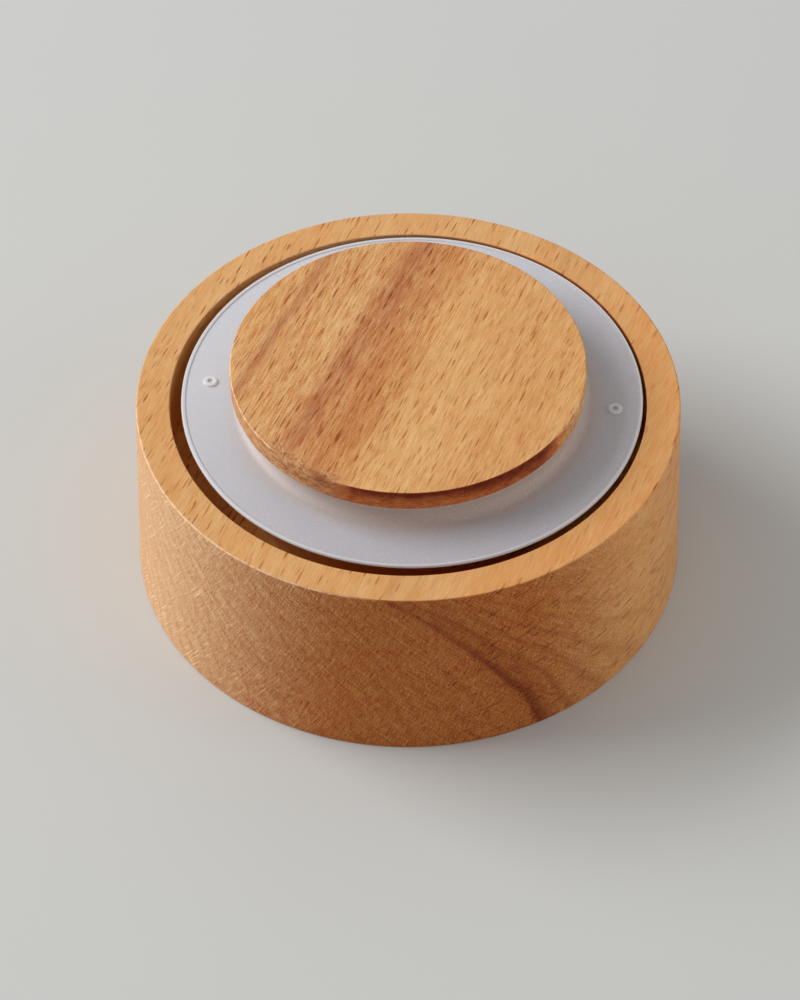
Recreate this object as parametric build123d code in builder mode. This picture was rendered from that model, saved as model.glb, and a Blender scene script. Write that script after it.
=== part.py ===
from build123d import *

import os
from math import cos, radians, sin

# A turned beech lid for a wide-mouthed jar, lying on its outer face with the seal side up.
# The origin is at the middle of the resting face. +Z is up, +X is to the right, +Y is away.

# Cap body
cap_diameter = 82.7
cap_height = 31.2
wall_taper = 1.0
rim_wall = 5.0
rim_outer_round = 0.3
rim_inner_round = 0.2
base_round = 0.3
groove_depth = 13.0
groove_width = 9.35
groove_corner_round = 0.8

# Boss in the middle of the groove, with a neck and a low pad on its top
boss_edge_round = 0.4
shoulder_width = 2.4
neck_edge_round = 0.4
plate_ledge = 8.6
pad_relief = 0.1

# Seal, one moulding: plate, collar and flange
seal_thickness = 0.8
seal_play = 0.75
seal_least_gap = 0.14
seal_lean_angle = 24.0
flange_rise = 0.2
flange_edge_gap = 1.15
lip_thickness = 0.35
lip_bevel_width = 1.0
collar_foot_round = 1.6
bead_width = 0.7
bead_height = 0.15
bead_slope = 0.15

# Moulding marks on the flange
nub_inset = 4.1
nub_turn_angle = -5.9
nub_count = 2
nub_diameter = 2.0
nub_height = 0.3
nub_round = 0.2
dimple_diameter = 0.8
dimple_depth = 0.4

# Clamp disc
disc_overhang = 1.1
disc_thickness = 3.3
disc_over_rim = 3.9
disc_top_round = 0.25
disc_bottom_round = 0.3

# Centre peg, fast in the disc and a push fit in the boss
peg_diameter = 8.0
peg_chamfer = 0.5
peg_bore_depth = 14.0
peg_bore_chamfer = 0.4
peg_end_gap = 0.5
peg_running_clearance = 0.05
peg_glue_clearance = 0.02
peg_socket_depth = 2.1

# Two lengths closer than this are taken as the same when an edge is looked up
match_tolerance = 0.001

# Radii that follow from the sizes above
cap_radius = cap_diameter / 2
rim_radius = cap_radius - wall_taper
groove_radius = rim_radius - rim_wall
boss_radius = groove_radius - groove_width
neck_radius = boss_radius - shoulder_width
pad_radius = neck_radius - plate_ledge
plate_hole_radius = pad_radius + seal_play
collar_inner_radius = neck_radius + seal_play
collar_outer_radius = collar_inner_radius + seal_thickness
flange_radius = groove_radius - flange_edge_gap
nub_pitch_radius = flange_radius - nub_inset
disc_radius = collar_outer_radius + disc_overhang
peg_radius = peg_diameter / 2
peg_bore_radius = peg_radius + peg_running_clearance
peg_socket_radius = peg_radius + peg_glue_clearance

# Heights over the resting face
groove_floor = cap_height - groove_depth
flange_top = cap_height + flange_rise
flange_bottom = flange_top - seal_thickness
disc_bottom = cap_height + disc_over_rim
disc_top = disc_bottom + disc_thickness
neck_top = disc_bottom - seal_thickness
pad_top = disc_bottom - pad_relief
peg_bore_floor = pad_top - peg_bore_depth
peg_bottom = peg_bore_floor + peg_end_gap
peg_top = disc_bottom + peg_socket_depth

# The loose seal has slid to one side of the neck, as far as its play lets it
seal_drift = seal_play - seal_least_gap
seal_x = seal_drift * cos(radians(seal_lean_angle))
seal_y = seal_drift * sin(radians(seal_lean_angle))
seal_section_plane = Plane(origin=(seal_x, seal_y, 0), x_dir=(1, 0, 0), z_dir=(0, -1, 0))
seal_axis = Axis((seal_x, seal_y, 0), (0, 0, 1))


def ring_edges(part, radius, height):
    """Return the circular edges of a turned part that lie at one radius and height."""
    circles = part.edges().filter_by(GeomType.CIRCLE)
    at_radius = circles.filter_by(lambda edge: abs(edge.radius - radius) < match_tolerance)
    return at_radius.filter_by(lambda edge: abs(edge.center().Z - height) < match_tolerance)


# Cap body: tapered outer wall, annular groove for the jar's neck, boss, and blind bore for the peg
with BuildPart() as cap_body:
    with BuildSketch(Plane.XZ):
        with BuildLine():
            Polyline(
                (0, 0),
                (cap_radius, 0),
                (rim_radius, cap_height),
                (groove_radius, cap_height),
                (groove_radius, groove_floor),
                (boss_radius, groove_floor),
                (boss_radius, flange_bottom),
                (neck_radius, flange_bottom),
                (neck_radius, neck_top),
                (pad_radius, neck_top),
                (pad_radius, pad_top),
                (0, pad_top),
                close=True,
            )
        make_face()
    revolve(axis=Axis.Z)
    fillet(ring_edges(cap_body, cap_radius, 0), radius=base_round)
    fillet(ring_edges(cap_body, rim_radius, cap_height), radius=rim_outer_round)
    fillet(ring_edges(cap_body, groove_radius, cap_height), radius=rim_inner_round)
    fillet(ring_edges(cap_body, groove_radius, groove_floor), radius=groove_corner_round)
    fillet(ring_edges(cap_body, boss_radius, groove_floor), radius=groove_corner_round)
    fillet(ring_edges(cap_body, boss_radius, flange_bottom), radius=boss_edge_round)
    fillet(ring_edges(cap_body, neck_radius, neck_top), radius=neck_edge_round)
    with Locations((0, 0, pad_top)):
        Hole(radius=peg_bore_radius, depth=peg_bore_depth)
    chamfer(ring_edges(cap_body, peg_bore_radius, pad_top), length=peg_bore_chamfer)

# Seal: the plate lies on the neck, the collar hangs round it, the flange closes the groove
with BuildPart() as seal:
    with BuildSketch(seal_section_plane):
        with BuildLine():
            Polyline(
                (plate_hole_radius, neck_top),
                (plate_hole_radius, disc_bottom),
                (collar_outer_radius, disc_bottom),
                (collar_outer_radius, flange_top),
                (flange_radius - bead_width, flange_top),
                (flange_radius - bead_width + bead_slope, flange_top + bead_height),
                (flange_radius - bead_slope, flange_top + bead_height),
                (flange_radius, flange_top),
                (flange_radius, flange_top - lip_thickness),
                (flange_radius - lip_bevel_width, flange_bottom),
                (collar_inner_radius, flange_bottom),
                (collar_inner_radius, neck_top),
                close=True,
            )
        make_face()
    revolve(axis=seal_axis)
    fillet(ring_edges(seal, collar_outer_radius, flange_top), radius=collar_foot_round)
    nub_plane = Plane.XY.offset(flange_top).move(Location((seal_x, seal_y, 0)))
    with BuildSketch(nub_plane):
        with PolarLocations(nub_pitch_radius, nub_count, start_angle=nub_turn_angle):
            Circle(nub_diameter / 2)
    extrude(amount=nub_height)
    nub_tops = ring_edges(seal, nub_diameter / 2, flange_top + nub_height)
    fillet(nub_tops, radius=nub_round)
    with BuildSketch(nub_plane.offset(nub_height)):
        with PolarLocations(nub_pitch_radius, nub_count, start_angle=nub_turn_angle):
            Circle(dimple_diameter / 2)
    extrude(amount=-dimple_depth, mode=Mode.SUBTRACT)

# Clamp disc: a plain turned plate with a blind socket under its middle
with BuildPart() as clamp_disc:
    with BuildSketch(Plane.XY.offset(disc_bottom)):
        Circle(disc_radius)
    extrude(amount=disc_thickness)
    fillet(ring_edges(clamp_disc, disc_radius, disc_top), radius=disc_top_round)
    fillet(ring_edges(clamp_disc, disc_radius, disc_bottom), radius=disc_bottom_round)
    with BuildSketch(Plane.XY.offset(disc_bottom)):
        Circle(peg_socket_radius)
    extrude(amount=peg_socket_depth, mode=Mode.SUBTRACT)

# Centre peg: joins the disc to the boss
with BuildPart() as centre_peg:
    with BuildSketch(Plane.XY.offset(peg_bottom)):
        Circle(peg_radius)
    extrude(amount=peg_top - peg_bottom)
    chamfer(ring_edges(centre_peg, peg_radius, peg_bottom), length=peg_chamfer)
    chamfer(ring_edges(centre_peg, peg_radius, peg_top), length=peg_chamfer)

cap_body.part.label = "cap_body"
seal.part.label = "seal"
clamp_disc.part.label = "clamp_disc"
centre_peg.part.label = "centre_peg"

os.makedirs("parts", exist_ok=True)
export_step(cap_body.part, "parts/cap_body.step")
export_step(seal.part, "parts/seal.step")
export_step(clamp_disc.part, "parts/clamp_disc.step")
export_step(centre_peg.part, "parts/centre_peg.step")
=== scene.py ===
"""Looks of a turned beech jar lid with its frosted seal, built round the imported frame.

The lid lies on its outer face with the seal side up. Every length is in metres, in the frame's own axes:
+Z up, +X to the right and +Y away from the camera.
"""

import logging
from dataclasses import dataclass, replace
from enum import Enum
from math import cos, pi, radians, sin
from typing import Callable, Sequence, Union

import bmesh
import bpy
from mathutils import Matrix, Vector


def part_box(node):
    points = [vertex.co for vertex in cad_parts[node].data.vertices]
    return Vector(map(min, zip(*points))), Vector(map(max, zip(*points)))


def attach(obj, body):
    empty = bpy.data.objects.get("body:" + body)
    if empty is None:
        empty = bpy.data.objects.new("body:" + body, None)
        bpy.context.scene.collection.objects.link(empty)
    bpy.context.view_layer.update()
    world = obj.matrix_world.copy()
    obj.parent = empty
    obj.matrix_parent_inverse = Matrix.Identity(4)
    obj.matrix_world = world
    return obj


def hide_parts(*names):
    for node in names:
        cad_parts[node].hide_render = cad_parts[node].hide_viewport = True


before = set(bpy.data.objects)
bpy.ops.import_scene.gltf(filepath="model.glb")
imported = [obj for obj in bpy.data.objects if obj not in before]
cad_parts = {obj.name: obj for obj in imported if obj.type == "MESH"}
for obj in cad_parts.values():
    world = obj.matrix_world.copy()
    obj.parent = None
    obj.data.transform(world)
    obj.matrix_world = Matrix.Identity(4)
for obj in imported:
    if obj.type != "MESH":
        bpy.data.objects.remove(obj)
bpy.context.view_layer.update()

LOG = logging.getLogger("jar_lid")
MM = 0.001

# How finely the round pieces are turned
RING_STEPS = 256
SMALL_RING_STEPS = 48
ROUND_STEPS = 5
SAME_PLACE = 0.004 * MM
SAME_RING = 5 * SAME_PLACE
FLAT = 0.99
SMOOTH_ANGLE = radians(38)

RIM_HEIGHT = 31.2 * MM

# Direction of the wood's fibres in plan, from +X
FIBRE_ANGLE = radians(68)

Number = Union[int, float]
Colour = tuple[float, float, float]


class Slot(Enum):
    """Material slots of the record."""

    CAP = "beech_cap"
    DISC = "beech_disc"
    PEG = "beech_peg"
    SEAL = "frosted_plastic"


class Body(Enum):
    """Moving bodies of the frame."""

    CAP = "cap"
    SEAL = "seal_ring"
    DISC = "disc"


# Shader graphs


class Value:
    """A shader socket that holds a number and adds Math nodes when it is used in an expression."""

    def __init__(self, graph: "Graph", socket: bpy.types.NodeSocket) -> None:
        """Wraps one output socket of a graph."""
        self.graph = graph
        self.socket = socket

    def math(self, operation: str, *others: Union["Value", Number], flip: bool = False) -> "Value":
        """Adds one Math node.

        Args:
            operation: The Math node's operation.
            others: Its further operands.
            flip: Whether this value comes after the first of the others.

        Returns:
            The node's result.
        """
        operands = [self, *others]
        if flip:
            operands[0], operands[1] = operands[1], operands[0]
        node = self.graph.node("ShaderNodeMath", {"operation": operation}, dict(enumerate(operands)))
        return Value(self.graph, node.outputs[0])

    def __add__(self, other: Union["Value", Number]) -> "Value":
        """Adds."""
        return self.math("ADD", other)

    def __sub__(self, other: Union["Value", Number]) -> "Value":
        """Subtracts."""
        return self.math("SUBTRACT", other)

    def __rsub__(self, other: Number) -> "Value":
        """Subtracts this value from a number."""
        return self.math("SUBTRACT", other, flip=True)

    def __mul__(self, other: Union["Value", Number]) -> "Value":
        """Multiplies."""
        return self.math("MULTIPLY", other)

    def __truediv__(self, other: Union["Value", Number]) -> "Value":
        """Divides."""
        return self.math("DIVIDE", other)

    def __rtruediv__(self, other: Number) -> "Value":
        """Divides a number by this value."""
        return self.math("DIVIDE", other, flip=True)

    def __pow__(self, other: Number) -> "Value":
        """Raises to a power."""
        return self.math("POWER", other)

    __radd__ = __add__
    __rmul__ = __mul__

    def step(self, start: Number, end: Number) -> "Value":
        """Rises smoothly from 0 to 1, or falls where start is the larger.

        Args:
            start: Where the result is 0.
            end: Where it is 1.

        Returns:
            The result, from 0 to 1.
        """
        sockets = {"Value": self, "From Min": start, "From Max": end}
        node = self.graph.node("ShaderNodeMapRange", {"interpolation_type": "SMOOTHSTEP"}, sockets)
        return Value(self.graph, node.outputs["Result"])

    def bell(self, middle: Number, width: Number) -> "Value":
        """Is 1 at the middle and falls smoothly to 0 at a width to either side."""
        return (self - middle).math("ABSOLUTE").step(width, 0.0)


class Graph:
    """The node graph of one material, with its Principled shader."""

    def __init__(self, name: str) -> None:
        """Makes a material with a Principled shader on its output.

        Args:
            name: Name of the material.
        """
        self.material = bpy.data.materials.new(name)
        self.material.use_nodes = True
        self.tree = self.material.node_tree
        self.tree.nodes.clear()
        self.shader = self.node("ShaderNodeBsdfPrincipled")
        self.node("ShaderNodeOutputMaterial", None, {"Surface": self.shader.outputs[0]})

    def node(self, kind: str, settings: Union[dict, None] = None,
             sockets: Union[dict, None] = None) -> bpy.types.Node:
        """Adds one node.

        Args:
            kind: The node's type.
            settings: Its properties, set first.
            sockets: Values or links of its input sockets, by name or number.

        Returns:
            The node.
        """
        made = self.tree.nodes.new(kind)
        for key, value in (settings or {}).items():
            setattr(made, key, value)
        for key, value in (sockets or {}).items():
            self.feed(made.inputs[key], value)
        return made

    def feed(self, socket: bpy.types.NodeSocket, value: object) -> None:
        """Links a socket to another one, or sets its own value.

        Args:
            socket: The input socket.
            value: An output socket or a value.
        """
        if isinstance(value, Value):
            self.tree.links.new(value.socket, socket)
        elif isinstance(value, bpy.types.NodeSocket):
            self.tree.links.new(value, socket)
        elif isinstance(value, (tuple, list, Vector)) and socket.type == "RGBA":
            socket.default_value = (*value, 1.0)
        else:
            socket.default_value = value

    def set(self, **sockets: object) -> None:
        """Sets the Principled shader's sockets, named with underscores for spaces."""
        for key, value in sockets.items():
            self.feed(self.shader.inputs[key.replace("_", " ")], value)

    def place(self, turn: float = 0.0, shift: Sequence[float] = (0.0, 0.0, 0.0)) -> bpy.types.NodeSocket:
        """Object coordinates, turned about Z and then shifted.

        Args:
            turn: Angle of the turn.
            shift: What is then added.

        Returns:
            The coordinates.
        """
        coordinates = self.node("ShaderNodeTexCoord").outputs["Object"]
        sockets = {"Vector": coordinates, "Rotation": (0.0, 0.0, turn), "Location": tuple(shift)}
        return self.node("ShaderNodeMapping", {"vector_type": "POINT"}, sockets).outputs[0]

    def normal(self, turn: float = 0.0) -> bpy.types.NodeSocket:
        """The surface's direction in object axes, turned about Z.

        Args:
            turn: Angle of the turn.

        Returns:
            The direction.
        """
        direction = self.node("ShaderNodeTexCoord").outputs["Normal"]
        sockets = {"Vector": direction, "Rotation": (0.0, 0.0, turn)}
        return self.node("ShaderNodeMapping", {"vector_type": "VECTOR"}, sockets).outputs[0]

    def split(self, vector: bpy.types.NodeSocket) -> list[Value]:
        """The three parts of a vector."""
        made = self.node("ShaderNodeSeparateXYZ", None, {0: vector})
        return [Value(self, socket) for socket in made.outputs]

    def join(self, x: object, y: object, z: object) -> bpy.types.NodeSocket:
        """A vector of three parts."""
        return self.node("ShaderNodeCombineXYZ", None, {0: x, 1: y, 2: z}).outputs[0]

    def noise(self, vector: bpy.types.NodeSocket, scale: float, detail: float, rough: float = 0.5) -> Value:
        """Smooth noise.

        Args:
            vector: The coordinates.
            scale: Cells for each unit of them.
            detail: Octaves of the noise.
            rough: Share of each finer octave.

        Returns:
            The noise, from 0 to 1 round 0.5.
        """
        sockets = {"Vector": vector, "Scale": scale, "Detail": detail, "Roughness": rough}
        made = self.node("ShaderNodeTexNoise", {"noise_dimensions": "3D"}, sockets)
        return Value(self, made.outputs["Fac"])

    def cloud(self, parts: Sequence[Value], sizes: Sequence[float], detail: float = 1.0, rough: float = 0.5,
              seed: float = 0.0) -> Value:
        """Noise whose cells have a size of their own along each coordinate.

        Args:
            parts: Two or three coordinates.
            sizes: Size of a cell along each.
            detail: Octaves of the noise.
            rough: Share of each finer octave.
            seed: Third coordinate where there are only two.

        Returns:
            The noise, from 0 to 1 round 0.5.
        """
        cells = [part / size for part, size in zip(parts, sizes)]
        return self.noise(self.join(*cells, *[seed] * (3 - len(cells))), 1.0, detail, rough)

    def mix(self, share: Union[Value, Number], low: object, high: object,
            blend: str = "MIX") -> bpy.types.NodeSocket:
        """Mixes two colours.

        Args:
            share: Share of the second one.
            low: The first colour.
            high: The second one.
            blend: The Mix node's blend type.

        Returns:
            The mixed colour.
        """
        settings = {"data_type": "RGBA", "blend_type": blend, "clamp_factor": True}
        made = self.node("ShaderNodeMix", settings)
        self.feed(made.inputs[0], share)
        self.feed(made.inputs[6], low)
        self.feed(made.inputs[7], high)
        return made.outputs[2]

    def bump(self, height: Value, depth: float, strength: float) -> bpy.types.NodeSocket:
        """A normal bent by a height between 0 and 1 that stands for a real depth."""
        sockets = {"Height": height, "Distance": depth, "Strength": strength}
        return self.node("ShaderNodeBump", None, sockets).outputs[0]


# Finishes


# How strongly light and dark grain changes red, green and blue
GRAIN_TINT = (0.5, 1.15, 1.7)


def distance(x: Value, y: Value) -> Value:
    """Length of a line from its two parts."""
    return (x * x + y * y).math("SQRT")


def near_radius(x: Value, y: Value, radius: float, skin: Sequence[float]) -> Value:
    """Is 1 outside a radius and 0 inside it, and rises between two depths inside it."""
    return distance(x, y).step(radius - skin[0], radius - skin[1])


@dataclass
class Surface:
    """What a finish has worked out so far: its base colour, bump height and roughness."""

    graph: Graph
    colour: object
    height: Value
    rough: Value

    def stain(self, share: Union[Value, Number], colour: object) -> None:
        """Mixes a colour in by a share."""
        self.colour = self.graph.mix(share, self.colour, colour)

    def shade(self, red: Value, green: Value, blue: Value) -> None:
        """Multiplies the colour's three parts."""
        self.colour = self.graph.mix(1.0, self.colour, self.graph.join(red, green, blue), "MULTIPLY")

    def darken(self, share: Value, colour: Colour) -> None:
        """Multiplies the colour by another one, by a share."""
        self.colour = self.graph.mix(share, self.colour, colour, "MULTIPLY")

    def grain(self, amount: Value) -> None:
        """Lightens or darkens the wood as its grain does: least in red and most in blue."""
        self.shade(*(1.0 + amount * part for part in GRAIN_TINT))


@dataclass(frozen=True)
class Log:
    """Where a piece was cut from the tree.

    Args:
        pith_across: Place of the pith across the fibres.
        pith_height: Height of the pith.
        band_radius: Distance of the dark growth ring from the pith.
        band_tilt: Slope of the rings against the fibres, in plan.
    """

    pith_across: float
    pith_height: float
    band_radius: float
    band_tilt: float = 0.0


class Timber:
    """Where a point of a piece's surface lies in its log, and how the wood is cut there."""

    # How far the fibres point out of the surface, from side grain to end grain, and to a square cut
    end_cut = (0.15, 0.75)
    squarest_cut = (0.78, 0.93)

    # How far the surface faces up, from wall to level face, and how far along the rings
    level_face = (0.4, 0.8)
    quarter_cut = (0.50, 0.90)

    # How far, and over what lengths, the rings wander
    wander_depth = 2.4 * MM
    wander_cell = (34 * MM, 12 * MM, 12 * MM)

    def __init__(self, graph: Graph, log: Log) -> None:
        """Works out the place in the log, and how far the surface is end grain, level or along the rays.

        Args:
            graph: The material's graph.
            log: Where the piece was cut from.
        """
        shift = (0.0, log.pith_across, -log.pith_height)
        self.along, minus_across, self.up = graph.split(graph.place(-FIBRE_ANGLE, shift))
        self.across = 0.0 - minus_across
        self.height = self.up + log.pith_height
        ahead, aside, upward = graph.split(graph.normal(-FIBRE_ANGLE))
        facing = ahead.math("ABSOLUTE")
        self.end = facing.step(*self.end_cut)
        self.square_cut = facing.step(*self.squarest_cut)
        self.level = upward.math("ABSOLUTE").step(*self.level_face)
        self.from_pith = distance(self.across, self.up)
        self.round_pith = self.up.math("ARCTAN2", self.across) * log.band_radius
        self.thinning = self.from_pith / log.band_radius
        facing_ray = (aside * self.up + upward * self.across) / self.from_pith
        self.ray_face = facing_ray.math("ABSOLUTE").step(*self.quarter_cut)
        bow = (log.band_radius ** 2 - self.up * self.up).math("MAXIMUM", 0.0).math("SQRT")
        self.wander = graph.cloud((self.along, self.across, self.up), self.wander_cell) - 0.5
        self.bent = self.wander * self.wander_depth
        self.ring = self.across + self.along * log.band_tilt - bow + self.bent


@dataclass(frozen=True)
class Fibres:
    """One scale of the grain, drawn out along the fibres.

    Args:
        length: Length of its cells.
        width: Their width.
        octaves: Octaves of the noise.
        spread: Distance of its darkest and lightest value from the middle one.
        weight: How strongly it lightens and darkens the wood.
    """

    length: float
    width: float
    octaves: float
    spread: float
    weight: float = 0.0

    def mask(self, graph: Graph, wood: Timber) -> Value:
        """Draws the grain.

        Args:
            graph: The material's graph.
            wood: Places in the log.

        Returns:
            The grain, from 0 to 1.
        """
        sizes = (self.length, self.width, self.width)
        noise = graph.cloud((wood.along, wood.across, wood.up), sizes, self.octaves, 0.55)
        return noise.step(0.5 - self.spread, 0.5 + self.spread)

    def tone(self, mask: Value) -> Value:
        """How much a mask of this grain lightens or darkens the wood."""
        return (mask - 0.5) * self.weight


# The grain of beech, from broad tones to single hairs and pores
BROAD = Fibres(60 * MM, 8 * MM, 2.0, 0.16)
MOTTLE = Fibres(5 * MM, 1.7 * MM, 2.0, 0.18)
STREAKY = Fibres(20 * MM, 1.5 * MM, 3.0, 0.20, 0.08)
FIBRES = Fibres(4.6 * MM, 0.42 * MM, 3.0, 0.20, 0.22)
HAIRS = Fibres(2.6 * MM, 0.18 * MM, 2.0, 0.20, 0.46)
PORE_SIZE = 0.24 * MM


@dataclass(frozen=True)
class RayFlecks:
    """The flat dark rays of beech, which show as short spindles on a face cut along the fibres.

    Args:
        pitch: Mean distance between rays along the fibres, from the pith and round it.
        size: Height, depth and width of one ray.
        share: Share of the places that hold a ray.
        least: Height and width of the smallest ray, as shares of the size.
        spread: How much larger the others get.
        softness: How gently a ray fades at its edge.
        plain: Chance from which a ray shows in full.
    """

    pitch: Sequence[float]
    size: Sequence[float]
    share: float
    least: Sequence[float] = (0.60, 0.65)
    spread: Sequence[float] = (0.80, 0.70)
    softness: float = 0.75
    plain: float = 0.80

    def mask(self, graph: Graph, wood: Timber) -> Value:
        """Marks the rays, some of them faintly.

        Args:
            graph: The material's graph.
            wood: Places in the log.

        Returns:
            Up to 1 inside a ray and 0 outside.
        """
        places = (wood.along, wood.from_pith, wood.round_pith)
        cells = graph.join(*(place / pitch for place, pitch in zip(places, self.pitch)))
        sockets = {"Vector": cells, "Scale": 1.0, "Randomness": 1.0}
        voronoi = graph.node("ShaderNodeTexVoronoi", {"voronoi_dimensions": "3D", "feature": "F1"}, sockets)
        settings = {"operation": "SUBTRACT"}
        offset = graph.node("ShaderNodeVectorMath", settings, {0: cells, 1: voronoi.outputs["Position"]})
        off_along, off_inward, off_across = graph.split(offset.outputs[0])
        chance, height, breadth = graph.split(voronoi.outputs["Color"])
        to_tip, to_root, to_side = (2 * pitch / size for pitch, size in zip(self.pitch, self.size))
        lengthwise = off_along * to_tip / (height * self.spread[0] + self.least[0])
        deep = off_inward * to_root
        sideways = off_across * wood.thinning * to_side / (breadth * self.spread[1] + self.least[1])
        room = 1.0 - lengthwise * lengthwise - deep * deep
        inside = (room - sideways.math("ABSOLUTE")).step(0.0, self.softness)
        return inside * chance.step(1.0 - self.share, self.plain)


LARGE_RAYS = RayFlecks((3.4 * MM, 4.4 * MM, 0.90 * MM), (3.5 * MM, 4.3 * MM, 0.42 * MM), 0.85)
SMALL_RAYS = RayFlecks((2.2 * MM, 3.0 * MM, 0.58 * MM), (2.2 * MM, 2.8 * MM, 0.30 * MM), 0.80)


@dataclass(frozen=True)
class Streak:
    """A coloured streak along the fibres.

    Args:
        place: Place of its middle across the fibres, from the dark growth ring.
        width: Half of its width, out to where it has faded.
        strength: How strongly it colours.
        colour: Its colour.
        gone: Place along the fibres where it has faded out.
        full: Place along the fibres from where it is full.
    """

    place: float
    width: float
    strength: float
    colour: Colour
    gone: float = -1.0
    full: float = -0.9


@dataclass(frozen=True)
class WoodTones:
    """Colours of one piece of wood.

    Args:
        light: Its lightest wood.
        dark: Its darkest plain wood.
        band: What the dark growth ring multiplies the wood's colour by.
        end_pale: End grain on the side away from the dark ring. On the cap this is the left of the wall,
            which faces the key lamp, and its paleness is partly painted light.
        end_deep: End grain beside the dark ring. On the cap this is the shaded front of the wall, and its
            deep colour is partly painted shade.
        ray: What the rays multiply it by.
    """

    light: Colour
    dark: Colour
    band: Colour
    end_pale: Colour
    end_deep: Colour
    ray: Colour = (0.58, 0.33, 0.25)


@dataclass(frozen=True)
class DarkRing:
    """The dark growth ring that shows down the front of the cap's wall.

    Args:
        zone_edge: Places across the ring where its brown zone starts and is full.
        zone_end: Places from the zone's far side where it is gone and where it is still full.
        foot_width: Width of the zone at the foot of the wall.
        growth: How much wider it is at the rim.
        tail_edge: Places where its faint tail starts and is full.
        tail_length: Distance over which the tail fades.
        core_place: Place of its darkest line.
        core_width: Half of that line's width.
        core_heights: Shares of the wall's height where the line is faintest and where it is full.
        shares: How dark the zone, the tail and the line are.
        side_share: How much of the ring shows on side grain.
    """

    zone_edge: Sequence[float] = (-0.5 * MM, 0.4 * MM)
    zone_end: Sequence[float] = (0.8 * MM, -0.6 * MM)
    foot_width: float = 1.9 * MM
    growth: float = 3.9 * MM
    tail_edge: Sequence[float] = (-2.2 * MM, 0.3 * MM)
    tail_length: float = 3.0 * MM
    core_place: float = 0.10 * MM
    core_width: float = 0.80 * MM
    core_heights: Sequence[float] = (0.85, 0.45)
    shares: Sequence[float] = (0.32, 0.28, 0.72)
    side_share: float = 0.35

    def lay(self, surface: Surface, wood: Timber, colour: Colour) -> None:
        """Darkens a wood with the ring, most at the foot of the wall.

        Args:
            surface: The finish so far.
            wood: Places in the log.
            colour: What the ring multiplies the wood's colour by.
        """
        ring = wood.ring
        height = wood.height / RIM_HEIGHT
        zone_share, tail_share, core_share = self.shares
        strength = wood.end * (1.0 - self.side_share) + self.side_share
        width = height * height * self.growth + self.foot_width
        zone = ring.step(*self.zone_edge) * (ring - width).step(*self.zone_end)
        decay = (0.0 - ring.math("MAXIMUM", 0.0) / self.tail_length).math("EXPONENT")
        tail = ring.step(*self.tail_edge) * decay
        lower = 1.2 - height * 0.6
        surface.darken((zone * zone_share + tail * tail_share) * lower * strength, colour)
        core = ring.bell(self.core_place, self.core_width) * (0.30 + height.step(*self.core_heights) * 0.70)
        surface.darken(core * strength * core_share, colour)


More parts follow.
